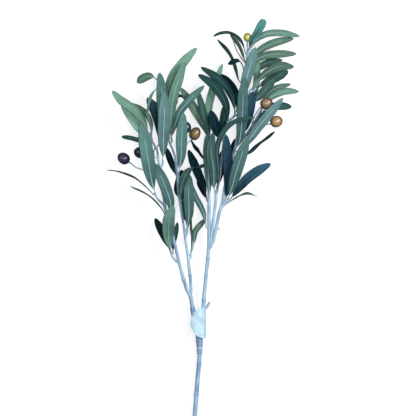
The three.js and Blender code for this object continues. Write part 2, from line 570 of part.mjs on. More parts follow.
// Right fork: inner shoot.
singleLeaf('centre_low_leaf', innerShoot, 281, 'sage',
  { width: 9, spine: [[4.5, 306, 27], [-8.3, 331.5, 29], [-15, 352.5, 29]] });
singleLeaf('centre_small_leaf', innerShoot, 320, 'shade',
  { width: 8, spine: [[6, 334, 17], [-4.5, 353, 14]] });
leafPair('centre_pair', innerShoot, 326, 'sage',
  { width: 13, spine: [[13.5, 345, 35], [12, 375, 40], [10.5, 400, 43], [9.8, 422, 44]] },
  { width: 13.5, spine: [[6, 342, 23], [0, 357, 22], [-9, 378, 21], [-17.5, 399, 20]] });
singleLeaf('centre_thin_leaf', innerShoot, 378, 'shade',
  { width: 11, roll: STEEP, spine: [[4, 388, 27], [-14.3, 414, 27]] });
singleLeaf('centre_tall_leaf', innerShoot, 406, 'fresh',
  { width: 12, spine: [[13.4, 436.5, 24], [13.5, 466.5, 32], [19.5, 489, 35], [33.8, 528, 36]] });
leafPair('centre_top_pair', innerShoot, 412.5, 'shade',
  { width: 13.5, spine: [[9.5, 425, 29], [-6, 456, 36], [-29.3, 492, 38]] },
  { width: 10.5, spine: [[12, 428, 37], [7, 447, 41], [0.8, 471, 42], [-4, 489.8, 42]] });

// Right fork: middle shoot.
leafPair('middle_pair', middleShoot, 334, 'sage',
  { width: 15, spine: [[20.7, 347, 38], [20.6, 369, 46], [16.5, 395, 51], [19.5, 424.5, 53]] },
  { width: 9, stalk: 15, roll: [25, 25], spine: [[27.6, 350, 46], [27.4, 366, 56], [27, 380, 61], [26.3, 402, 64], [33, 421.5, 69], [46.5, 436.5, 73], [60, 443.5, 75], [82.5, 446, 76]] });
singleLeaf('middle_back_leaf', middleShoot, 339, 'shade',
  { width: 13, spine: [[28, 354, 24], [31.5, 376, 23], [34.5, 399, 22]] });
leafPair('middle_upper_pair', middleShoot, 412, 'shade',
  { width: 15, spine: [[27.5, 421, 40], [21.5, 439, 46], [15.8, 457.5, 47]] },
  { width: 13.5, spine: [[34, 430, 25], [37, 450, 24], [39, 469.5, 24]] });
singleLeaf('middle_sweeping_leaf', middleShoot, 440, 'shade',
  { width: 13.5, spine: [[41.3, 451, 41], [39.6, 464, 46], [30, 484, 48], [15, 500, 47], [-3, 511.5, 45]] });
leafPair('middle_end_pair', middleShoot, 451, 'shade',
  { width: 12, spine: [[51.5, 465, 37], [46.5, 481, 41], [38.5, 494, 42], [24, 508, 42], [1, 523, 40]] },
  { width: 12, spine: [[57, 464, 26], [51.5, 488, 25], [40, 503, 24], [22.5, 514.5, 23]] });

// Right fork: the short blue sprig.
leafPair('blue_sprig_pair', blueSprigRoot, 323, 'sage',
  { width: 18, spine: [[46.5, 338, 44], [54, 364.5, 58], [61, 387, 65], [64.5, 397, 67.5], [72, 418, 70]] },
  { width: 15, spine: [[55.5, 337, 34], [67.8, 352, 34], [86, 366.5, 32], [106.5, 378, 28]] });
leafPair('blue_sprig_back_pair', blueSprigRoot, 319, 'shade',
  { width: 15, spine: [[41.2, 337, 40], [42, 356, 47], [42, 376.5, 51], [39, 421.5, 51]] },
  { width: 9, roll: [70, 70], spine: [[53, 326, 29], [69, 333, 27], [87, 328, 25]] });

// Right outer shoot.
leafPair('outer_dark_pair', rightOuterShoot, 388, 'shade',
  { width: 9, spine: [[49.6, 402, 36], [57, 417, 34]] },
  { width: 11, roll: STEEP, spine: [[62, 390.5, 35], [73.5, 394, 33], [93, 410, 32], [113, 426, 30]] });
leafPair('outer_front_pair', rightOuterShoot, 397, 'sage',
  { width: 17, spine: [[58.6, 410, 51], [61.4, 427, 58], [63.8, 459, 66], [64.4, 480, 70], [67.5, 507, 72]] },
  { width: 14.5, spine: [[68, 406.5, 50], [87, 432, 59], [102, 450, 64], [118.5, 469, 65], [124.5, 476, 64]] });
leafPair('side_low_pair', lowSideShoot, 418, 'shade',
  { width: 14, spine: [[69, 432, 43], [73, 450, 46], [77, 470, 46.5], [79.5, 486, 45]] },
  { width: 9, spine: [[80, 431, 33], [90, 445, 31], [98, 459, 29]] });
singleLeaf('side_lower_leaf', lowSideShoot, 456, 'shade',
  { width: 12, spine: [[104, 463, 32], [120, 464.5, 31], [138, 463.5, 29]] });
leafPair('side_end_pair', lowSideShoot, 460.5, 'fresh',
  { width: 9, spine: [[98.5, 477, 36], [111, 489.5, 37], [136.5, 497.5, 37]] },
  { width: 10.5, spine: [[101, 472.5, 41], [114, 481.5, 43], [130, 486.5, 43], [148.5, 486, 41]] });
leafPair('side_upper_pair', highSideShoot, 468, 'shade',
  { width: 13.5, spine: [[80.5, 472, 44], [92, 482, 47], [103, 494, 48], [112.5, 505, 48]] },
  { width: 10.5, spine: [[80, 479, 34], [84, 494, 32], [86, 515, 32], [85.5, 537, 32]] });
singleLeaf('side_thick_leaf', highSideShoot, 489, 'fresh',
  { width: 13.5, stalk: 18, spine: [[80.5, 496, 46], [87, 502, 50], [97, 512, 53], [118.5, 523.5, 53], [141, 522.8, 50]] });
singleLeaf('right_resting_leaf', highFork, 490.6, 'shade',
  { width: 15, spine: [[92.5, 496, 35], [108, 505, 25], [121, 512, 13], [132.8, 518, 1.2]] });
singleLeaf('top_front_leaf', rightOuterShoot, 470, 'sage',
  { width: 16.5, spine: [[65.4, 484, 51], [68.3, 499.5, 56], [77.3, 531, 61], [83.3, 552, 62]] });
leafPair('top_lower_pair', rightOuterShoot, 498, 'shade',
  { width: 11, roll: STEEP, spine: [[59, 502, 40], [52.5, 528, 34], [43.5, 546, 31], [26, 565.5, 28]] },
  { width: 11, spine: [[78, 514, 31], [86, 521, 25.5], [105, 531, 25], [124.5, 534, 24]] });
leafPair('top_middle_pair', rightOuterShoot, 517, 'fresh',
  { width: 8.5, stalk: 14, roll: [30, 30], spine: [[61.5, 529.5, 47], [55, 532.5, 48], [42, 527, 46]] },
  { width: 12, spine: [[80, 528, 39], [93, 538.5, 37], [115.5, 542.5, 35], [144.8, 543, 32]] });
leafPair('top_upper_pair', rightOuterShoot, 529, 'fresh',
  { width: 11, roll: STEEP, spine: [[64, 545, 33], [57.5, 559, 30], [45, 573, 28]] },
  { width: 12, spine: [[80, 539, 43], [93, 550, 43], [112.5, 559.5, 41], [141, 566, 38]] });
leafPair('top_wide_pair', rightOuterShoot, 543, 'fresh',
  { width: 11, roll: STEEP, spine: [[61.5, 563, 44], [46.5, 574.5, 43], [30, 573.8, 41], [20, 569, 38]] },
  { width: 10.5, spine: [[80, 559.5, 43], [97.5, 571.5, 46], [120, 574, 46], [150, 569, 42]] });
singleLeaf('top_blunt_leaf', rightOuterShoot, 546.5, 'sage',
  { width: 12.5, stalk: 8, blade: BLUNT_BLADE, spine: [[76.4, 560, 49], [85.5, 574, 52], [96.8, 594, 53]] });

// ------------------------------------------------------------------- origin

const extent = new THREE.Box3().setFromObject(spray);
const middle = extent.getCenter(new THREE.Vector3());
spray.position.set(-middle.x, -middle.y, -extent.min.z);
spray.updateMatrixWorld(true);

export default spray;
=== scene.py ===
import json
import math

import bpy
import numpy as np
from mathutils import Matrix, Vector

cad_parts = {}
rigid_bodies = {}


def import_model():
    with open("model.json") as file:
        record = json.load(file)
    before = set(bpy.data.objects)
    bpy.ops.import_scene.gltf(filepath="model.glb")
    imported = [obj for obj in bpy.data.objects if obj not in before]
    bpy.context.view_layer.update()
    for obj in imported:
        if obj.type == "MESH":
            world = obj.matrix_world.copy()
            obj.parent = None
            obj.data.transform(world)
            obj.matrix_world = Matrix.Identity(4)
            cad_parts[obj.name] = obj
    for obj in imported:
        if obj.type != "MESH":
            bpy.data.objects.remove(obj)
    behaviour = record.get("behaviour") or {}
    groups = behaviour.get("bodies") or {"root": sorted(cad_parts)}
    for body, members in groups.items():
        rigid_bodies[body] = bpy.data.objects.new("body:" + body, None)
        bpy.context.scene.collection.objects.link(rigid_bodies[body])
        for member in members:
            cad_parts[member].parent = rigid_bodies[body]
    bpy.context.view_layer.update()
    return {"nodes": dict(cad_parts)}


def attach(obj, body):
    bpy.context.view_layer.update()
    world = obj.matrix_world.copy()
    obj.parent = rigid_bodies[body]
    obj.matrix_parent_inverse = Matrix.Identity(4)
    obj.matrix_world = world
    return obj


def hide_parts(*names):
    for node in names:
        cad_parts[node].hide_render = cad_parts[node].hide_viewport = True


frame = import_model()

# ---------------------------------------------------------------- stem and shoots
# The stem, its two limbs and the shoots are pale blue-grey plastic moulded over
# wire. Short rings mark the moulded joints, and thin pegs carry the olives.

STEM_NODES = [
    "main_stem", "left_limb", "right_limb", "right_fork",
    "left_outer_shoot", "left_inner_shoot", "right_outer_shoot",
]
STEM_GRAIN = 0.00045        # finest detail kept on the moulding
DRY_TWIG_FROM = (0.0635, 0.238)     # the bare brown twig lies left of and above this
DRY_TWIG_BROWN = (0.22, 0.16, 0.14)
# Painted light and shade: the lit and the shaded colour of the plastic, laid on in random
# patches.
STEM_LIGHT = (0.43, 0.64, 0.79)
STEM_SHADE = (0.26, 0.40, 0.58)
MAIN_STEM_LIGHT = (0.35, 0.54, 0.78)
MAIN_STEM_SHADE = (0.18, 0.30, 0.52)
SHOOT_SWELL = 0.00025       # makes up for what the smoothing takes off the shoots
SHADE_PATCHES = 110               # patches of painted shade to a metre, drawn out along the branch
SHADE_PATCH_STRETCH = (1, 0.35, 1)
SHADE_PATCH_EDGE = (0.35, 0.68)  # where a patch begins, and where its shade is full
PITS = 900                  # fine pits to a metre
PIT_STRETCH = (1, 0.4, 1)
PIT_DEPTH = 0.0003
SAME_PLACE = 0.00001        # vertices nearer than this are one


def select_only(*pieces):
    """Selects the pieces and nothing else, and makes the first one active."""
    bpy.ops.object.select_all(action="DESELECT")
    for piece in pieces:
        piece.select_set(True)
    bpy.context.view_layer.objects.active = pieces[0]


def copy_solid(node, name):
    """A merged, selected copy of a solid's mesh, for shaping."""
    mesh = frame["nodes"][node].data.copy()
    mesh.name = name
    piece = bpy.data.objects.new(name, mesh)
    bpy.context.scene.collection.objects.link(piece)
    select_only(piece)
    mesh.materials.clear()
    bpy.ops.object.mode_set(mode="EDIT")
    bpy.ops.mesh.select_all(action="SELECT")
    bpy.ops.mesh.remove_doubles(threshold=SAME_PLACE)
    bpy.ops.object.mode_set(mode="OBJECT")
    return piece


def apply_modifier(piece, kind, **settings):
    modifier = piece.modifiers.new(kind.title(), kind)
    for setting, value in settings.items():
        setattr(modifier, setting, value)
    bpy.context.view_layer.objects.active = piece
    bpy.ops.object.modifier_apply(modifier=modifier.name)


def remould(piece, grain, rounds=3, pull=0.6):
    """Gives the piece an even mesh of that grain, and softens its edges."""
    apply_modifier(piece, "REMESH", mode="VOXEL", voxel_size=grain)
    apply_modifier(
        piece, "LAPLACIANSMOOTH", iterations=rounds, lambda_factor=pull,
        use_volume_preserve=True)


class Sock:
    """A node output, which adds Math nodes when it is used in an expression."""

    def __init__(self, shop, out):
        self.shop, self.out = shop, out

    def _math(self, operation, first, second):
        return self.shop.node(
            "ShaderNodeMath", {"operation": operation}, {0: first, 1: second})

    def __add__(self, other):
        return self._math("ADD", self, other)

    def __radd__(self, other):
        return self._math("ADD", other, self)

    def __sub__(self, other):
        return self._math("SUBTRACT", self, other)

    def __rsub__(self, other):
        return self._math("SUBTRACT", other, self)

    def __mul__(self, other):
        return self._math("MULTIPLY", self, other)

    def __rmul__(self, other):
        return self._math("MULTIPLY", other, self)

    def __abs__(self):
        return self._math("ABSOLUTE", self, 0)


class Finish:
    """One material: its shader, and short ways to add nodes to it."""

    def __init__(self, name, **shader):
        self.material = bpy.data.materials.new(name)
        self.material.use_nodes = True
        self.tree = self.material.node_tree
        self.shader = self.tree.nodes["Principled BSDF"]
        for socket, value in shader.items():
            self.shader.inputs[socket.replace("_", " ")].default_value = value

    def node(self, kind, settings=None, values=None, out=0):
        """Adds a node, fills in or links its inputs, and returns one output."""
        made = self.tree.nodes.new(kind)
        for setting, value in (settings or {}).items():
            setattr(made, setting, value)
        for socket, value in (values or {}).items():
            if isinstance(value, Sock):
                self.tree.links.new(value.out, made.inputs[socket])
            else:
                made.inputs[socket].default_value = value
        return Sock(self, made.outputs[out])

    def painted(self, name):
        """The value of an attribute that is painted on the piece's vertices."""
        return self.node("ShaderNodeAttribute", {"attribute_name": name}, out="Fac")

    def blotches(self, scale, detail=2, stretch=(1, 1, 1)):
        """Soft random patches, about 0 to 1, scale of them to a metre."""
        place = self.node("ShaderNodeTexCoord", out="Object")
        spot = self.node("ShaderNodeMapping", {}, {"Vector": place, "Scale": stretch})
        return self.node("ShaderNodeTexNoise", {}, {
            "Vector": spot, "Scale": scale, "Detail": detail}, out="Fac")

    def between(self, low, high, value):
        """0 below low, 1 above high and smooth in between."""
        return self.node("ShaderNodeMapRange", {"interpolation_type": "SMOOTHSTEP"}, {
            "Value": value, "From Min": low, "From Max": high})

    def mix(self, share, first, second):
        """The first colour where share is 0, and the second where it is 1."""
        first, second = (
            colour if isinstance(colour, Sock) else (*colour, 1) for colour in (first, second))
        share_in, first_in, second_in, colour_out = 0, 6, 7, 2
        return self.node(
            "ShaderNodeMix", {"data_type": "RGBA"},
            {share_in: share, first_in: first, second_in: second}, out=colour_out)

    def drive(self, socket, value):
        self.tree.links.new(value.out, self.shader.inputs[socket])

    def bump(self, height, distance):
        normal = self.node("ShaderNodeBump", {}, {
            "Height": height, "Distance": distance}, out="Normal")
        self.drive("Normal", normal)


def plastic_with_shade_patches(name, light, shade):
    """Satin plastic, slightly pitted, with its lit and its shaded colour painted on in random
    patches.
    """
    finish = Finish(name, Roughness=0.5)
    shade_patches = finish.between(*SHADE_PATCH_EDGE, finish.blotches(SHADE_PATCHES, 3, SHADE_PATCH_STRETCH))
    finish.drive("Base Color", finish.mix(shade_patches, light, shade))
    finish.bump(finish.blotches(PITS, 3, PIT_STRETCH), PIT_DEPTH)
    return finish


stem_plastic = plastic_with_shade_patches("moulded stem plastic", STEM_LIGHT, STEM_SHADE)
main_stem_plastic = plastic_with_shade_patches("main stem plastic", MAIN_STEM_LIGHT, MAIN_STEM_SHADE)
dry_plastic = Finish("dry twig plastic", Roughness=0.7, Base_Color=(*DRY_TWIG_BROWN, 1))

for node in STEM_NODES:
    stem = copy_solid(node, node + "_moulding")
    remould(stem, STEM_GRAIN)
    bpy.ops.object.shade_smooth()
    if node == "main_stem":
        stem.data.materials.append(main_stem_plastic.material)
    else:
        stem.data.materials.append(stem_plastic.material)
        apply_modifier(stem, "DISPLACE", mid_level=0, strength=SHOOT_SWELL)
    if node == "right_outer_shoot":
        stem.data.materials.append(dry_plastic.material)
        for face in stem.data.polygons:
            if face.center.x < DRY_TWIG_FROM[0] and face.center.y > DRY_TWIG_FROM[1]:
                face.material_index = 1
    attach(stem, "root")
    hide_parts(node)

# ---------------------------------------------------------------- taped fork
# Paper florist's tape is wound over the place where the limbs leave the stem.
# Each turn overlaps the one below, which leaves a low step across the wrap.

TURN_RISE = 0.0042          # how far one turn of tape climbs
STEP_HEIGHT = 0.00022
STEP_FALL = 0.15            # share of a turn on which the step drops again
WRAP_GRAIN = 0.00035        # finest detail kept on the wrap
TAPE_LIGHT = (0.39, 0.56, 0.76)
TAPE_SHADE = (0.18, 0.29, 0.48)
BANDS = 60                  # bands of shade round the wrap, to a metre, before the stretch
BAND_STRETCH = (0.15, 3.2, 0.15)
BAND_EDGE = (0.36, 0.62)
FIBRES = 1500               # paper fibres to a metre, before the stretch
FIBRE_STRETCH = (1, 0.5, 1)
FIBRE_DEPTH = 0.0002


def points(piece, kind="co"):
    """The piece's vertices as an array, or their normals if kind is "normal"."""
    flat = np.empty(len(piece.data.vertices) * 3)
    piece.data.vertices.foreach_get(kind, flat)
    return flat.reshape(-1, 3)


def move_points(piece, place):
    piece.data.vertices.foreach_set("co", place.ravel())
    piece.data.update()


wrap = copy_solid("tape_wrap", "wound_tape")
remould(wrap, WRAP_GRAIN)
wrap_points = points(wrap)
wrap_axis = float(np.median(wrap_points[:, 0])), float(np.median(wrap_points[:, 2]))
wrap_angle = np.arctan2(wrap_points[:, 2] - wrap_axis[1], wrap_points[:, 0] - wrap_axis[0])
turn_share = (wrap_points[:, 1] / TURN_RISE + wrap_angle / (2 * math.pi)) % 1
wrap_step = STEP_HEIGHT * np.clip(
    turn_share / (1 - STEP_FALL), 0, (1 - turn_share) / STEP_FALL)
move_points(wrap, wrap_points + points(wrap, "normal") * wrap_step[:, None])
bpy.ops.object.shade_smooth()

tape_paper = Finish("florist tape", Roughness=0.75)
tape_bands = tape_paper.between(*BAND_EDGE, tape_paper.blotches(BANDS, 2, BAND_STRETCH))
tape_paper.drive("Base Color", tape_paper.mix(tape_bands, TAPE_LIGHT, TAPE_SHADE))
tape_paper.bump(tape_paper.blotches(FIBRES, 2, FIBRE_STRETCH), FIBRE_DEPTH)
wrap.data.materials.append(tape_paper.material)
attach(wrap, "root")
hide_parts("tape_wrap")

# ---------------------------------------------------------------- folded label
# A round paper label is folded in half round the fork, so its two faces lie
# against each other. It is left bare.

LABEL_PAPER = (0.56, 0.79, 0.91)
LABEL_SHADE = (0.40, 0.62, 0.78)
LABEL_CLOUDS = 70           # faint clouds of shade to a metre
LABEL_CLOUD_EDGE = (0.4, 0.65)
LABEL_WAVES = 160           # shallow waves in the paper, to a metre
LABEL_WAVE_DEPTH = 0.0008
SHARP_EDGE = math.radians(40)

label = copy_solid("paper_label", "folded_paper_label")
bpy.ops.object.mode_set(mode="EDIT")
bpy.ops.mesh.select_all(action="SELECT")
bpy.ops.mesh.tris_convert_to_quads()
bpy.ops.object.mode_set(mode="OBJECT")
bpy.ops.object.shade_smooth_by_angle(angle=SHARP_EDGE)

label_paper = Finish("coated label paper", Roughness=0.42, Coat_Weight=0.15)
label_clouds = label_paper.between(*LABEL_CLOUD_EDGE, label_paper.blotches(LABEL_CLOUDS, 3))
label_paper.drive("Base Color", label_paper.mix(label_clouds, LABEL_PAPER, LABEL_SHADE))
label_paper.bump(label_paper.blotches(LABEL_WAVES, 2), LABEL_WAVE_DEPTH)
label.data.materials.append(label_paper.material)
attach(label, "root")
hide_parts("paper_label")

# ---------------------------------------------------------------- leaves
# Each leaf is one piece of printed cloth, pressed over a thin moulded midrib
# that stands proud of its upper face and runs on below as the leaf's stalk.
# Most leaves sit two to a collar. The stalk ends in a small moulded socket.

# A solid leaf is a row of rings from its tip to its stalk.
RING_COUNT = 8
RING_CORNERS = 4
MIDDLE_RING = 3             # the ring that tells which side of a leaf is up
FLATNESS = 1.25             # least width of a leaf, in thicknesses; a peg is rounder

# The mesh of a visible leaf.
LEAF_ROWS = 58              # steps along a leaf
TIP_CROWDING = 1.25         # power that draws the rows towards the tip
RIB_COLUMNS = 9             # columns on the midrib, and then to each side of it
SIDE_COLUMNS = 6
NEVER_ZERO = 1e-6           # least width that is divided by

STALK = 0.0024              # stretch of stalk inside the socket
STALK_RADIUS = 0.00078
BLADE_FROM = (-0.001, 0.005)    # the stalk turns to blade here, measured from its ring
STALK_PAINT = 0.006         # the stalk's colour fades out over this length
TIP_ROUNDING = (1.4, 0.7)   # powers that round the outline off past the last ring
CLOTH = 0.00032             # half the cloth's thickness at the root
CLOTH_THINNING = 0.5        # share of the thickness lost at the tip
RIB_HALF_WIDTH = 0.00105
RIB_HEIGHT = 0.00075
RIB_REACH = 0.78            # share of the blade that the midrib runs along
RIB_FADE = 0.05             # share of the blade over which it ends
RIB_NARROWING = 0.5         # share of the width and of the height lost on the way
RIB_LOWERING = 0.62
RIB_WIDEST = 0.45           # largest share of the blade's width that it takes
RIB_BELOW = 0.3             # share of its height that shows on the underside
RIB_PAINT = (1.9, 0.35)     # slope and start of its colour, up its sides
# Each blade is cupped and wavy in its own way. For each amount: two numbers that
# scatter it over the leaves, the least that it can be, and the spread above that.
CUP = (7, 11, 0.05, 0.16)
WAVE = (5, 7, 0.00035, 0.0005)
WAVES = (3, 5, 1.2, 0.9)
WAVE_LAG = 0.9              # puts the two edges out of step
WAVE_FROM = (0.05, 0.4)     # the waves grow between these shares of the blade
SOCKET_SWELL = 0.00032      # how far the socket stands out round the stalk
SOCKET_GRAIN = 0.00028
LEAF_LOOKS = ("rib", "top", "along", "across")  # painted on the vertices of each leaf

# Colours of the upper and lower face, and of the midrib. Besides the print's own spread of
# tone, these steps of one print paint in light and shade: the darkest, down to near black, go
# on leaves that lie in shade.
CLOTHS = {
    "pale": ((0.260, 0.520, 0.390), (0.045, 0.110, 0.115), (0.40, 0.60, 0.58)),
    "bright": ((0.152, 0.310, 0.224), (0.035, 0.090, 0.100), (0.34, 0.52, 0.50)),
    "misty": ((0.185, 0.370, 0.310), (0.035, 0.095, 0.105), (0.38, 0.58, 0.60)),
    "fresh": ((0.114, 0.240, 0.180), (0.030, 0.080, 0.095), (0.34, 0.53, 0.52)),
    "dull green": ((0.084, 0.168, 0.122), (0.024, 0.065, 0.070), (0.27, 0.43, 0.41)),
    "moss": ((0.066, 0.130, 0.096), (0.020, 0.052, 0.058), (0.24, 0.39, 0.38)),
    "sage": ((0.090, 0.206, 0.190), (0.022, 0.065, 0.090), (0.37, 0.58, 0.66)),
    "shaded sage": ((0.070, 0.165, 0.155), (0.020, 0.058, 0.080), (0.34, 0.53, 0.62)),
    "dim sage": ((0.059, 0.138, 0.132), (0.018, 0.050, 0.070), (0.32, 0.50, 0.59)),
    "grey sage": ((0.112, 0.220, 0.220), (0.025, 0.070, 0.100), (0.40, 0.60, 0.68)),
    "deep": ((0.042, 0.106, 0.092), (0.012, 0.040, 0.065), (0.15, 0.27, 0.31)),
    "pine": ((0.029, 0.078, 0.070), (0.010, 0.032, 0.052), (0.12, 0.23, 0.28)),
    "dark": ((0.017, 0.052, 0.050), (0.008, 0.024, 0.042), (0.07, 0.15, 0.18)),
    "navy": ((0.007, 0.044, 0.078), (0.006, 0.020, 0.050), (0.03, 0.085, 0.14)),
    "night": ((0.003, 0.018, 0.028), (0.003, 0.012, 0.024), (0.02, 0.055, 0.08)),
    "blue": ((0.018, 0.067, 0.108), (0.010, 0.035, 0.080), (0.010, 0.040, 0.06)),
    "black": ((0.005, 0.015, 0.017), (0.003, 0.009, 0.016), (0.015, 0.035, 0.05)),
    "teal": ((0.060, 0.205, 0.195), (0.040, 0.170, 0.200), (0.010, 0.045, 0.035)),
}

# How far the tone of each face runs, from its darkest patches to its palest.
EVEN_TONE = (0.86, 1.16)
WIDE_TONE = {"blue": (0.36, 1.5), "navy": (0.65, 1.35), "teal": (0.7, 1.45)}
LOWER_TONE = (0.8, 1.25)
CLOTH_PATCHES = 75          # patches to a metre
PATCH_SHARE, TIP_SHARE = 0.7, 0.35      # what patches and nearness to the tip add to the tone
TONE_EDGE = (0.3, 0.75)
EDGE_SHADE_SPAN = (0.76, 1.0)   # painted shade along the edges, where the cloth curves away, grows between these shares of the half width
EDGE_SHADE_STRENGTH = 0.45
EDGE_SHADE_TONE = 0.45
VEINS = 42                  # side veins along a leaf
VEIN_SLANT = 5              # how many veins each one climbs on its way to the edge
VEIN_SHARE, THREAD_SHARE = 0.25, 0.6    # what veins and threads add to the relief
THREADS = 2600
RELIEF_DEPTH = 0.00012

# The darkest prints have a cold sheen.
COLD_CLOTHS = ("night", "dark", "black")
COLD_SHEEN = (0.30, 0.90, 1, 1)

# The slot of each leaf or pair, and its cloths, from the left tip to the right. The cloths
# paint in the light and shade on each leaf as well as its own tone: dark steps where a leaf
# lies in shade, paler steps on some leaves that the lamps leave shaded.
LEAVES = {
    "left_low_pair": ("leaf_green", "black", "misty"),
    "left_low_leaf": ("leaf_dark", "dark"),
    "far_left_pair": ("leaf_sage", "pine", "sage"),
    "left_crossing_pair": ("leaf_green", "sage", "shaded sage"),
    "left_front_leaf": ("leaf_sage", "grey sage"),
    "left_back_pair": ("leaf_dark", "blue", "dark"),
    "left_upper_pair": ("leaf_green", "pale", "deep"),
    "left_resting_leaf": ("leaf_dark", "bright"),
    "left_top_pair": ("leaf_green", "bright", "pale"),
    "inner_low_pair": ("leaf_dark", "shaded sage", "dull green"),
    "inner_front_pair": ("leaf_sage", "dark", "dim sage"),
    "inner_folded_pair": ("leaf_green", "black", "deep"),
    "inner_tall_pair": ("leaf_sage", "night", "sage"),
    "inner_crown_pair": ("leaf_green", "fresh", "shaded sage"),
    "inner_hidden_pair": ("leaf_sage", "shaded sage", "deep"),
    "inner_curl_leaf": ("leaf_dark", "dark"),
    "inner_top_pair": ("leaf_green", "dull green", "bright"),
    "centre_low_leaf": ("leaf_sage", "dim sage"),
    "centre_small_leaf": ("leaf_dark", "black"),
    "centre_pair": ("leaf_sage", "night", "shaded sage"),
    "centre_thin_leaf": ("leaf_dark", "black"),
    "centre_tall_leaf": ("leaf_green", "bright"),
    "centre_top_pair": ("leaf_dark", "dull green", "pine"),
    "middle_pair": ("leaf_sage", "dim sage", "pine"),
    "middle_back_leaf": ("leaf_dark", "black"),
    "middle_upper_pair": ("leaf_dark", "night", "dark"),
    "middle_sweeping_leaf": ("leaf_dark", "dark"),
    "middle_end_pair": ("leaf_dark", "dark", "night"),
    "blue_sprig_pair": ("leaf_sage", "shaded sage", "blue"),
    "blue_sprig_back_pair": ("leaf_dark", "navy", "deep"),
    "outer_dark_pair": ("leaf_dark", "black", "dark"),
    "outer_front_pair": ("leaf_sage", "dim sage", "grey sage"),
    "side_low_pair": ("leaf_dark", "navy", "dark"),
    "side_lower_leaf": ("leaf_dark", "pine"),
    "side_end_pair": ("leaf_green", "dull green", "fresh"),
    "side_upper_pair": ("leaf_dark", "bright", "deep"),
    "side_thick_leaf": ("leaf_green", "moss"),
    "right_resting_leaf": ("leaf_dark", "pine"),
    "top_front_leaf": ("leaf_sage", "grey sage"),
    "top_lower_pair": ("leaf_dark", "pine", "deep"),
    "top_middle_pair": ("leaf_green", "night", "dull green"),
    "top_upper_pair": ("leaf_green", "dull green", "dull green"),
    "top_wide_pair": ("leaf_green", "deep", "fresh"),
    "top_blunt_leaf": ("leaf_sage", "teal"),
}


def unit(vector):
    return vector / np.linalg.norm(vector)


def ring_layers(beside, tip):
    """The rings that follow one another from a tip, if there are enough."""
    seen, layer, layers = {tip}, set(beside[tip]), []
    while len(layer) == RING_CORNERS and len(layers) < RING_COUNT:
        layers.append(sorted(layer))
        seen |= layer
        layer = set().union(*[beside[corner] for corner in layer]) - seen
    return layers if len(layers) == RING_COUNT else None


def opposite_pairs(ring, beside):
    """A ring's four corners, as two pairs that face each other."""
    first = ring[0]
    facing = next(corner for corner in ring[1:] if corner not in beside[first])
    return (first, facing), tuple(c for c in ring if c not in (first, facing))


def leaf_line(place, beside, tip, layers):
    """The middles, half widths, across and up directions of a leaf's rings, from
    its root to its tip. Rings as thick as they are wide are a peg, and no leaf."""
    rings = [opposite_pairs(ring, beside) for ring in layers]
    spans = [[np.linalg.norm(place[a] - place[b]) for a, b in ring] for ring in rings]
    if max(spans[1]) < FLATNESS * min(spans[1]):
        return None
    middles, halves, acrosses, ups = [place[tip]], [0.0], [], []
    for ring, span in zip(rings, spans):
        if acrosses:
            turned = [abs(np.dot(unit(place[a] - place[b]), acrosses[-1])) for a, b in ring]
            wide = int(turned[1] > turned[0])
        else:
            wide = int(span[1] > span[0])
        (a, b), (c, d) = ring[wide], ring[1 - wide]
        middle = (place[a] + place[b]) / 2
        across = unit(place[a] - place[b])
        if acrosses and np.dot(across, acrosses[-1]) < 0:
            across = -across
        # The midrib's ridge lies further from the middle than the flat underside.
        if np.linalg.norm(place[c] - middle) < np.linalg.norm(place[d] - middle):
            c, d = d, c
        middles.append(middle)
        halves.append(span[wide] / 2)
        acrosses.append(across)
        ups.append(unit(place[c] - place[d]))
    upward = ups[MIDDLE_RING]
    ups = [up if np.dot(up, upward) > 0 else -up for up in ups]
    middles, halves = middles[::-1], halves[::-1]
    root = middles[0] - STALK * unit(middles[1] - middles[0])
    acrosses = [acrosses[-1], *acrosses[::-1], acrosses[0]]
    ups = [ups[-1], *ups[::-1], ups[0]]
    # Across points to the same hand on every leaf, as seen from its root.
    check = MIDDLE_RING + 1
    hand = np.cross(ups[check], middles[check] - middles[check - 1])
    if np.dot(hand, acrosses[check]) < 0:
        acrosses = [-across for across in acrosses]
    return {
        "middles": np.array([root, *middles]), "halves": np.array([halves[0], *halves]),
        "acrosses": np.array(acrosses), "ups": np.array(ups), "tip": place[tip],
        "blade_corners": {tip}.union(*layers[:-1])}


def find_leaves(piece):
    """The leaves of a merged solid, from left to right."""
    place = points(piece)
    beside = [set() for _ in place]
    for edge in piece.data.edges:
        first, second = edge.vertices
        beside[first].add(second)
        beside[second].add(first)
    leaves = []
    for tip in range(len(place)):
        layers = ring_layers(beside, tip)
        leaf = leaf_line(place, beside, tip, layers) if layers else None
        if leaf:
            leaves.append(leaf)
    return sorted(leaves, key=lambda leaf: leaf["tip"][0])


def smooth_curve(knots, values, places):
    """Values at places, on a smooth curve through the values at the knots."""
    values = np.asarray(values, float).reshape(len(knots), -1)
    steps = np.diff(knots)
    slopes = np.diff(values, axis=0) / steps[:, None]
    inner = (slopes[:-1] * steps[1:, None] + slopes[1:] * steps[:-1, None]) / (
        steps[:-1] + steps[1:])[:, None]
    tangents = np.vstack([slopes[:1], inner, slopes[-1:]])
    span = np.clip(np.searchsorted(knots, places, side="right") - 1, 0, len(steps) - 1)
    width = steps[span][:, None]
    t = ((places - knots[span]) / steps[span])[:, None]
    return (
        (1 + 2 * t) * (1 - t) ** 2 * values[span] + t * (1 - t) ** 2 * width * tangents[span]
        + t * t * (3 - 2 * t) * values[span + 1] + t * t * (t - 1) * width * tangents[span + 1])


def smoothstep(low, high, value):
    share = np.clip((value - low) / (high - low), 0, 1)
    return share * share * (3 - 2 * share)


def leaf_seed(name, number):
    """A whole number of the leaf's own, from its node's name and its place in it."""
    return sum(ord(letter) * (place + 3) for place, letter in enumerate(name)) + 37 * number


def amount(seed, factor, steps, least, spread):
    """One of the even steps from the least amount to the largest, by the seed."""
    return least + spread * ((seed * factor) % steps) / (steps - 1)


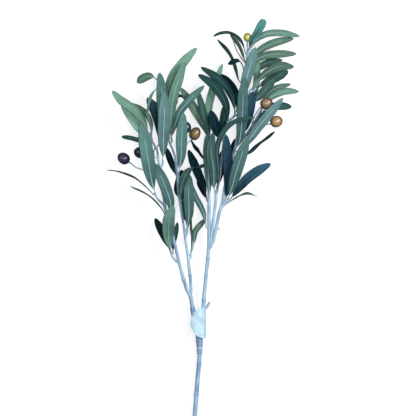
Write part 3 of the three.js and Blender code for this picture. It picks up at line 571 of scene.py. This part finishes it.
def leaf_blank():
    """A tube of even rings, made once. Its copies are pressed into leaves."""
    columns = 2 * (RIB_COLUMNS + 2 * SIDE_COLUMNS + 1)
    bpy.ops.mesh.primitive_cylinder_add(
        vertices=columns, radius=1, depth=1, end_fill_type="TRIFAN")
    blank = bpy.context.object
    # Only the long edges are cut. Edge mode keeps the ends out of the selection.
    bpy.ops.object.mode_set(mode="EDIT")
    bpy.ops.mesh.select_mode(type="EDGE")
    bpy.ops.mesh.select_all(action="DESELECT")
    bpy.ops.object.mode_set(mode="OBJECT")
    for edge in blank.data.edges:
        low, high = (blank.data.vertices[corner].co for corner in edge.vertices)
        edge.select = abs(low.z - high.z) > 0.5
    bpy.ops.object.mode_set(mode="EDIT")
    bpy.ops.mesh.subdivide(number_cuts=LEAF_ROWS - 1)
    bpy.ops.object.mode_set(mode="OBJECT")
    return blank, columns


def pressed_leaf(blank, columns, leaf, cloth, name, number):
    """One leaf, bent on to the line and the width of its solid."""
    piece = blank.copy()
    piece.data = blank.data.copy()
    piece.name = piece.data.name = f"{name}_blade_{number + 1}"
    bpy.context.scene.collection.objects.link(piece)
    middles, halves = leaf["middles"], leaf["halves"]
    knots = np.concatenate([[0], np.cumsum(np.linalg.norm(np.diff(middles, axis=0), axis=1))])
    length, blade = knots[-1], knots[2]
    seed = leaf_seed(name, number)
    cup, wave, waves = (amount(seed, *spread) for spread in (CUP, WAVE, WAVES))

    blank_points = points(piece)
    share = blank_points[:, 2] + 0.5
    turn = np.arctan2(blank_points[:, 1], blank_points[:, 0]) / (2 * math.pi)
    column = np.round(turn * columns) % columns
    pole = np.hypot(blank_points[:, 0], blank_points[:, 1]) < 0.5
    along = length * (1 - (1 - share) ** TIP_CROWDING)
    blade_share = np.clip((along - blade) / (length - blade), 0, 1)

    middle = smooth_curve(knots, middles, along)
    across = smooth_curve(knots, leaf["acrosses"], along)
    up = smooth_curve(knots, leaf["ups"], along)
    across /= np.linalg.norm(across, axis=1)[:, None]
    up -= across * (up * across).sum(1)[:, None]
    up /= np.linalg.norm(up, axis=1)[:, None]

    half = smooth_curve(knots[:-1], halves[:-1], np.minimum(along, knots[-2]))[:, 0]
    past = np.clip((along - knots[-2]) / (length - knots[-2]), 0, 1)
    inward, outward = TIP_ROUNDING
    half = np.where(past > 0, halves[-2] * (1 - past ** inward) ** outward, half)
    is_blade = smoothstep(blade + BLADE_FROM[0], blade + BLADE_FROM[1], along)

    # The columns run over the top from one edge to the other, and back below.
    top = column <= columns / 2
    step = 1 - 2 * np.where(top, column, columns - column) / (columns / 2)
    rib_part = (RIB_COLUMNS + 1) / (RIB_COLUMNS + 2 * SIDE_COLUMNS + 1)
    rib_half = np.minimum(
        RIB_HALF_WIDTH * (1 - RIB_NARROWING * np.clip(blade_share / RIB_REACH, 0, 1)),
        RIB_WIDEST * half)
    inside = np.abs(step) <= rib_part
    offset = np.where(
        inside, step / rib_part * rib_half,
        np.sign(step) * (rib_half + (half - rib_half)
                         * (np.abs(step) - rib_part) / (1 - rib_part)))
    edge = np.isclose(np.abs(step), 1)
    rib_end = 1 - smoothstep(RIB_REACH - RIB_FADE, RIB_REACH, blade_share)
    rib = np.where(inside, np.cos(offset / np.maximum(rib_half, NEVER_ZERO) * math.pi / 2), 0)
    rib_high = RIB_HEIGHT * (1 - RIB_LOWERING * blade_share) * rib_end * rib
    across_share = offset / np.maximum(half, NEVER_ZERO)
    ripple = np.sin(
        2 * math.pi * waves * blade_share + seed % 6 + np.sign(across_share) * WAVE_LAG)
    ripple *= smoothstep(*WAVE_FROM, blade_share)
    shape = (cup * half + wave * ripple) * across_share ** 2
    cloth_half = CLOTH * np.where(edge, 0, 1) * (1 - CLOTH_THINNING * blade_share)
    height = shape + np.where(top, cloth_half + rib_high, -cloth_half - RIB_BELOW * rib_high)
    # The tube starts out as the round stalk, and opens into the blade.
    angle = column / columns * 2 * math.pi
    offset = is_blade * offset + (1 - is_blade) * STALK_RADIUS * np.cos(angle)
    height = is_blade * height + (1 - is_blade) * STALK_RADIUS * np.sin(angle)
    offset, height = np.where(pole, 0, offset), np.where(pole, 0, height)
    move_points(piece, middle + across * offset[:, None] + up * height[:, None])

    paint_slope, paint_start = RIB_PAINT
    rib_mask = np.where(
        inside & top, rib_end * np.clip(rib * paint_slope - paint_start, 0, 1), 0)
    stalk_mask = 1 - smoothstep(blade, blade + STALK_PAINT, along)
    looks = (
        np.maximum(rib_mask, stalk_mask), np.where(top | pole, 1.0, 0.0), blade_share,
        np.clip(across_share, -1, 1))
    for look, value in zip(LEAF_LOOKS, looks):
        layer = piece.data.attributes.new(look, "FLOAT", "POINT")
        layer.data.foreach_set("value", value.astype(np.float32))
    piece.data.materials.append(cloth_materials[cloth])
    return piece


def leaf_cloth(cloth):
    """Printed cloth: one colour above, a duller one below, a pale midrib, and painted shade
    along the edges.
    """
    upper, lower, rib = CLOTHS[cloth]
    finish = Finish(cloth + " leaf cloth", Roughness=0.55, Specular_IOR_Level=0.14)
    if cloth in COLD_CLOTHS:
        finish.shader.inputs["Specular Tint"].default_value = COLD_SHEEN

    def tinted(colour, factor):
        return tuple(min(1, channel * factor) for channel in colour)

    ribbed, top, along, across = (finish.painted(look) for look in LEAF_LOOKS)
    patches = finish.blotches(CLOTH_PATCHES)
    shift = finish.between(*TONE_EDGE, patches * PATCH_SHARE + along * TIP_SHARE)
    above, below = (
        finish.mix(shift, *(tinted(colour, factor) for factor in tones))
        for colour, tones in ((upper, WIDE_TONE.get(cloth, EVEN_TONE)), (lower, LOWER_TONE)))
    face = finish.mix(top, below, above)
    # Painted shade: the blade darkens towards its edges, where the cloth curves away from the
    # light.
    edge_shade = finish.between(*EDGE_SHADE_SPAN, abs(across)) * EDGE_SHADE_STRENGTH
    with_edge_shade = finish.mix(edge_shade, face, tinted(upper, EDGE_SHADE_TONE))
    finish.drive("Base Color", finish.mix(ribbed, with_edge_shade, rib))
    veins = finish.node("ShaderNodeMath", {"operation": "SINE"}, {
        0: (along * VEINS - abs(across) * VEIN_SLANT) * (2 * math.pi)})
    threads = finish.blotches(THREADS, 1)
    finish.bump(veins * VEIN_SHARE + threads * THREAD_SHARE, RELIEF_DEPTH)
    return finish.material


def leaf_sockets(solid, leaves, name):
    """The moulded sockets, and the collar that joins a pair's two stalks."""
    socket = solid.copy()
    socket.data = solid.data.copy()
    socket.name = socket.data.name = name + "_socket"
    bpy.context.scene.collection.objects.link(socket)
    select_only(socket)
    blades = set().union(*[leaf["blade_corners"] for leaf in leaves])
    bpy.ops.object.mode_set(mode="EDIT")
    bpy.ops.mesh.select_mode(type="VERT")
    bpy.ops.mesh.select_all(action="DESELECT")
    bpy.ops.object.mode_set(mode="OBJECT")
    for corner in socket.data.vertices:
        corner.select = corner.index in blades
    bpy.ops.object.mode_set(mode="EDIT")
    bpy.ops.mesh.delete(type="VERT")
    bpy.ops.mesh.select_all(action="SELECT")
    bpy.ops.mesh.fill_holes(sides=0)
    bpy.ops.mesh.select_all(action="SELECT")
    bpy.ops.mesh.normals_make_consistent(inside=False)
    bpy.ops.object.mode_set(mode="OBJECT")
    remould(socket, SOCKET_GRAIN, rounds=2, pull=0.5)
    move_points(socket, points(socket) + SOCKET_SWELL * points(socket, "normal"))
    for look in LEAF_LOOKS:
        socket.data.attributes.new(look, "FLOAT", "POINT")
    socket.data.materials.append(stem_plastic.material)
    return socket


cloth_materials = {cloth: leaf_cloth(cloth) for cloth in CLOTHS}
blank_leaf, leaf_columns = leaf_blank()
for node, (slot, *cloths) in LEAVES.items():
    solid = copy_solid(node, node + "_solid")
    leaves = find_leaves(solid)
    if len(leaves) != len(cloths):
        raise RuntimeError(f"{node}: found {len(leaves)} leaves, not {len(cloths)}")
    parts = [
        pressed_leaf(blank_leaf, leaf_columns, leaf, cloth, node, number)
        for number, (leaf, cloth) in enumerate(zip(leaves, cloths))]
    parts.append(leaf_sockets(solid, leaves, node))
    bpy.data.objects.remove(solid)
    select_only(*parts)
    bpy.ops.object.join()
    foliage = bpy.context.object
    foliage.name = foliage.data.name = node + "_cloth"
    bpy.ops.object.shade_smooth()
    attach(foliage, "root")
    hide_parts(node)
bpy.data.objects.remove(blank_leaf)

# ---------------------------------------------------------------- olives
# Each olive is a hollow moulded bead in glossy paint, with painted shade on its
# sides, underside and ends, and a small calyx where it is pushed on to its peg.

OLIVES = {
    "olive_plum_left": "olive_plum", "olive_plum_behind": "olive_plum",
    "olive_plum_middle": "olive_plum", "olive_brown_middle": "olive_brown",
    "olive_brown_right": "olive_brown", "olive_gold_right": "olive_brown",
    "olive_lime_top": "olive_lime",
}
# Colours of the body, of the painted shade at its sides, underside and ends, and of the spots.
OLIVE_SKINS = {
    "olive_plum_left": ((0.036, 0.029, 0.098), (0.006, 0.007, 0.028), (0.12, 0.10, 0.22)),
    "olive_plum_behind": ((0.004, 0.012, 0.052), (0.002, 0.005, 0.024), (0.03, 0.05, 0.13)),
    "olive_plum_middle": ((0.004, 0.019, 0.068), (0.002, 0.008, 0.032), (0.04, 0.08, 0.19)),
    "olive_brown_middle": ((0.265, 0.160, 0.060), (0.022, 0.013, 0.013), (0.42, 0.29, 0.15)),
    "olive_brown_right": ((0.31, 0.185, 0.105), (0.045, 0.026, 0.030), (0.44, 0.32, 0.21)),
    "olive_gold_right": ((0.49, 0.285, 0.130), (0.075, 0.042, 0.040), (0.64, 0.43, 0.26)),
    "olive_lime_top": ((0.58, 0.56, 0.080), (0.17, 0.19, 0.024), (0.74, 0.74, 0.26)),
}
PAINTED_SHADE_EDGE = (0.22, 1.0)    # where the body colour begins, and where it is full
POLE_DARKENING = 0.18       # how much darker the painted shade makes the colour towards the poles
CLOUDS = 150                # clouds in the colour and in the edge of the painted shade, to a metre
CLOUD_SHARE, CLOUD_START = 0.3, 0.12
CLOUD_DEPTH = 0.0004
SPOTS = 520                 # pale spots to a metre
SPOT_EDGE = (0.60, 0.72)
SPOT_STRENGTH = 0.55
# The bead's form: heights in half lengths, and widths in radii.
FULLER_END = 0.05
DIMPLE_DEPTH, DIMPLE_WIDTH = 0.10, 0.28
POINT_HEIGHT, POINT_WIDTH = 0.035, 0.16
OFF_AXIS = (0.3, 0.2, 0.9)  # no bead's axis runs this way
# The calyx, in radii and lengths of its bead.
CALYX_COLOUR = (0.42, 0.50, 0.50)
CALYX_RADIUS, CALYX_DEPTH, CALYX_SHIFT = 0.19, 0.12, 0.02
CALYX_ROUNDING = 0.0003
CALYX_LOBES, LOBE_HEIGHT = 5, 0.16
CALYX_SHARP_EDGE = math.radians(50)

stem_points = np.vstack([
    points(piece) for piece in bpy.data.objects if piece.name.endswith("_moulding")])


def olive_ends(node):
    """The bead's two poles, with the one on its peg first, and its radius."""
    solid = copy_solid(node, node + "_solid")
    place = points(solid)
    count = np.zeros(len(place), int)
    for edge in solid.data.edges:
        count[list(edge.vertices)] += 1
    bpy.data.objects.remove(solid)
    # More edges meet at the poles than anywhere else.
    ends = place[np.argsort(count)[-2:]]
    away = [np.min(np.linalg.norm(stem_points - end, axis=1)) for end in ends]
    radius = np.max(np.linalg.norm(np.cross(
        place - ends.mean(0), unit(ends[1] - ends[0])), axis=1))
    return ends[np.argmin(away)], ends[np.argmax(away)], radius


def olive_skin(node):
    """Glossy paint: a body colour, painted shade darkening the sides, underside and ends, and
    pale spots.
    """
    body, ends, spots = OLIVE_SKINS[node]
    finish = Finish(
        node.replace("_", " ") + " paint", Roughness=0.36, Specular_IOR_Level=0.6,
        Coat_Weight=0.7, Coat_Roughness=0.12)
    painted_light, cloud = finish.painted("painted_light"), finish.blotches(CLOUDS, 3)
    # Painted shade: the body colour is full where the bead faces up and gives way to the dark
    # colour at the sides, below and at the poles.
    lit_share = finish.between(*PAINTED_SHADE_EDGE, painted_light + cloud * CLOUD_SHARE - CLOUD_START)
    base = finish.mix(lit_share, ends, body)
    spotted = finish.between(*SPOT_EDGE, finish.blotches(SPOTS))
    finish.drive("Base Color", finish.mix(spotted * SPOT_STRENGTH, base, spots))
    finish.bump(cloud, CLOUD_DEPTH)
    return finish.material


calyx_finish = Finish("calyx plastic", Roughness=0.55, Base_Color=(*CALYX_COLOUR, 1))
for node, slot in OLIVES.items():
    held, free, radius = olive_ends(node)
    axis, length = unit(free - held), np.linalg.norm(free - held)
    bpy.ops.mesh.primitive_uv_sphere_add(segments=48, ring_count=32, radius=1)
    olive = bpy.context.object
    olive.name = olive.data.name = node + "_bead"
    round_points = points(olive)
    # The held end is fuller and dimpled, and the free end draws to a low point.
    rise = round_points[:, 2]
    around = np.hypot(round_points[:, 0], round_points[:, 1])
    swell = 1 - FULLER_END * rise
    dimple = DIMPLE_DEPTH * np.exp(-((around / DIMPLE_WIDTH) ** 2)) * (rise < 0)
    point = POINT_HEIGHT * np.exp(-((around / POINT_WIDTH) ** 2)) * (rise > 0)
    side = unit(np.cross(axis, OFF_AXIS))
    other = np.cross(axis, side)
    centre = (held + free) / 2
    height = (rise + dimple + point - POINT_HEIGHT) * length / 2
    wide = round_points[:, :2] * swell[:, None] * radius
    place = centre + np.outer(height, axis) + np.outer(wide[:, 0], side) + np.outer(
        wide[:, 1], other)
    move_points(olive, place)
    # Painted shade: the colour is full where the bead faces up, towards the light, and darkens
    # towards the sides, the underside and both ends.
    painted_light = olive.data.attributes.new("painted_light", "FLOAT", "POINT")
    facing = (place - centre)[:, 2] / np.linalg.norm(place - centre, axis=1)
    lit_amount = facing - POLE_DARKENING * np.abs(rise) ** 3
    painted_light.data.foreach_set("value", lit_amount.astype(np.float32))
    olive.data.materials.append(olive_skin(node))
    bpy.ops.object.shade_smooth()

    bpy.ops.mesh.primitive_cylinder_add(
        vertices=20, radius=CALYX_RADIUS * radius, depth=CALYX_DEPTH * length,
        end_fill_type="TRIFAN")
    calyx = bpy.context.object
    apply_modifier(calyx, "BEVEL", width=CALYX_ROUNDING, segments=3)
    cap = points(calyx)
    lobe = 1 + LOBE_HEIGHT * np.cos(CALYX_LOBES * np.arctan2(cap[:, 1], cap[:, 0]))
    move_points(calyx, held + np.outer(cap[:, 2] + CALYX_SHIFT * length, axis)
                + np.outer(cap[:, 0] * lobe, side) + np.outer(cap[:, 1] * lobe, other))
    calyx.data.materials.append(calyx_finish.material)
    bpy.ops.object.shade_smooth_by_angle(angle=CALYX_SHARP_EDGE)
    select_only(olive, calyx)
    bpy.ops.object.join()
    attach(olive, "root")
    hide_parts(node)

# ---------------------------------------------------------------- floor, light, camera
# The branch lies on a plain white table under soft light, seen from above.

FLOOR_GLOW = (0.93, 0.94, 0.95)     # keeps the table white where the light is soft
FLOOR_GLOW_STRENGTH = 0.76
FLOOR_PAINT = (0.44, 0.45, 0.46)
FLOOR_SIZE = 6
FLOOR_DROP = 0.0004         # how far the table lies below the branch
SKY_COLOUR = (0.95, 0.975, 1, 1)
SKY_STRENGTH = 0.18
# Each light's place, width and power. All of them point at the branch.
LIGHTS = {
    "window": ((1.7, 0.8, 2.1), 0.9, 58),
    "left_fill": ((-1.5, 0.6, 2.0), 1.4, 11),
    "overhead": ((0.25, 0.1, 3.0), 0.7, 24),
}
VIEW_MIDDLE = (0.0068, 0.0209, 0.045)
VIEW_WIDTH = 0.624
CAMERA_HEIGHT = 7.0
SENSOR_WIDTH = 36
FARTHEST_VIEW = 50

bpy.ops.mesh.primitive_plane_add(size=FLOOR_SIZE, location=(0, 0, -FLOOR_DROP))
floor = bpy.context.object
floor.name = "table_top"
floor_finish = Finish(
    "white table", Roughness=0.8, Base_Color=(*FLOOR_PAINT, 1),
    Emission_Color=(*FLOOR_GLOW, 1), Emission_Strength=FLOOR_GLOW_STRENGTH)
floor.data.materials.append(floor_finish.material)
# The table adds no glow of its own to the underside of the branch.
floor.visible_diffuse = False
floor.visible_glossy = False

world = bpy.data.worlds.new("studio")
bpy.context.scene.world = world
world.use_nodes = True
sky = world.node_tree.nodes["Background"].inputs
sky["Color"].default_value = SKY_COLOUR
sky["Strength"].default_value = SKY_STRENGTH

for name, (place, size, power) in LIGHTS.items():
    bpy.ops.object.light_add(type="AREA", location=place)
    light = bpy.context.object
    light.name = name
    light.data.size = size
    light.data.energy = power
    light.rotation_euler = (-Vector(place)).to_track_quat("-Z", "Y").to_euler()

bpy.ops.object.camera_add(location=(VIEW_MIDDLE[0], VIEW_MIDDLE[1], CAMERA_HEIGHT))
camera = bpy.context.object
camera.rotation_euler = (0, 0, 0)
camera.data.sensor_width = SENSOR_WIDTH
camera.data.lens = SENSOR_WIDTH * (CAMERA_HEIGHT - VIEW_MIDDLE[2]) / VIEW_WIDTH
camera.data.clip_end = FARTHEST_VIEW
bpy.context.scene.camera = camera
bpy.context.scene.view_settings.view_transform = "Standard"
